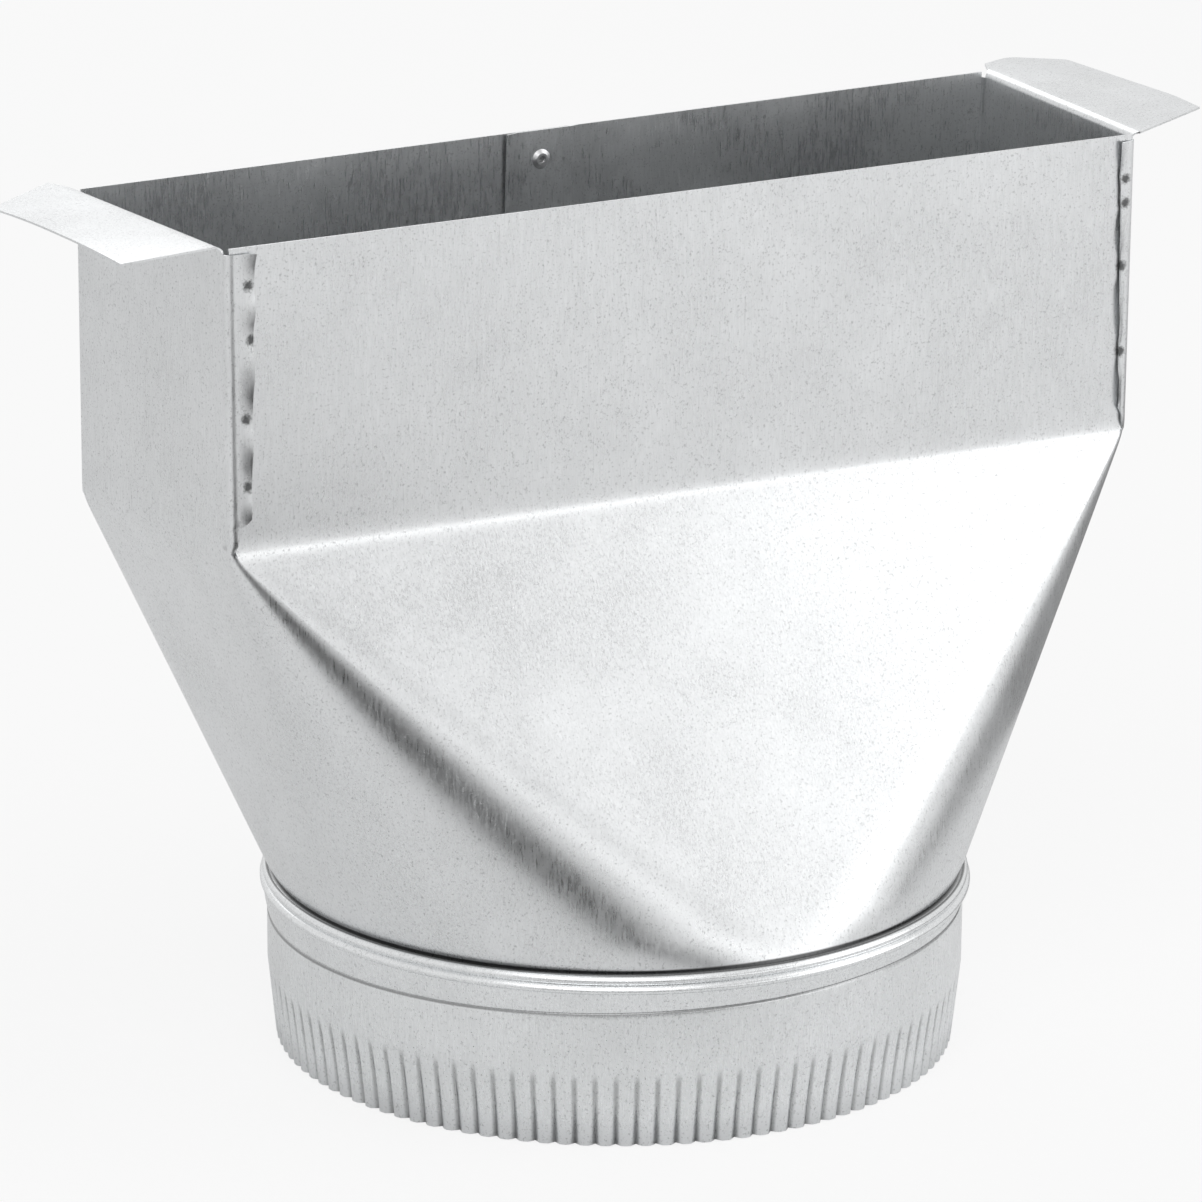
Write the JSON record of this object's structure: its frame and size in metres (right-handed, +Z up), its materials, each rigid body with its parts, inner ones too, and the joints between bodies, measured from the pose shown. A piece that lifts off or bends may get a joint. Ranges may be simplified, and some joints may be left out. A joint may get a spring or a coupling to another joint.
{
  "type": "register boot",
  "caption": "Straight galvanized sheet-steel register boot: rectangular mouth with end tabs, square-to-round transition and a beaded, crimped round collar.",
  "frame": {"origin": "on the floor under the centre of the round collar", "axes": "+Z up through the mouth, +X along the long walls, +Y towards the long wall with the lap seam"},
  "size_m": [0.311, 0.1804, 0.2283],
  "materials": {
    "galvanized_body": "hot-dip galvanized sheet with a fine vertical grain, burnt spot-weld marks at the corners",
    "galvanized_collar": "hot-dip galvanized sheet, bright where the beads and crimps were rolled",
    "rivet_shell": "plain blind rivet, satin",
    "rivet_core": "broken steel mandrel, dull"
  },
  "bodies": {
    "root": {"boot_body": "galvanized_body", "collar": "galvanized_collar", "seam_rivet": "rivet_shell", "rivet_mandrel": "rivet_core"}
  },
  "joints": []
}
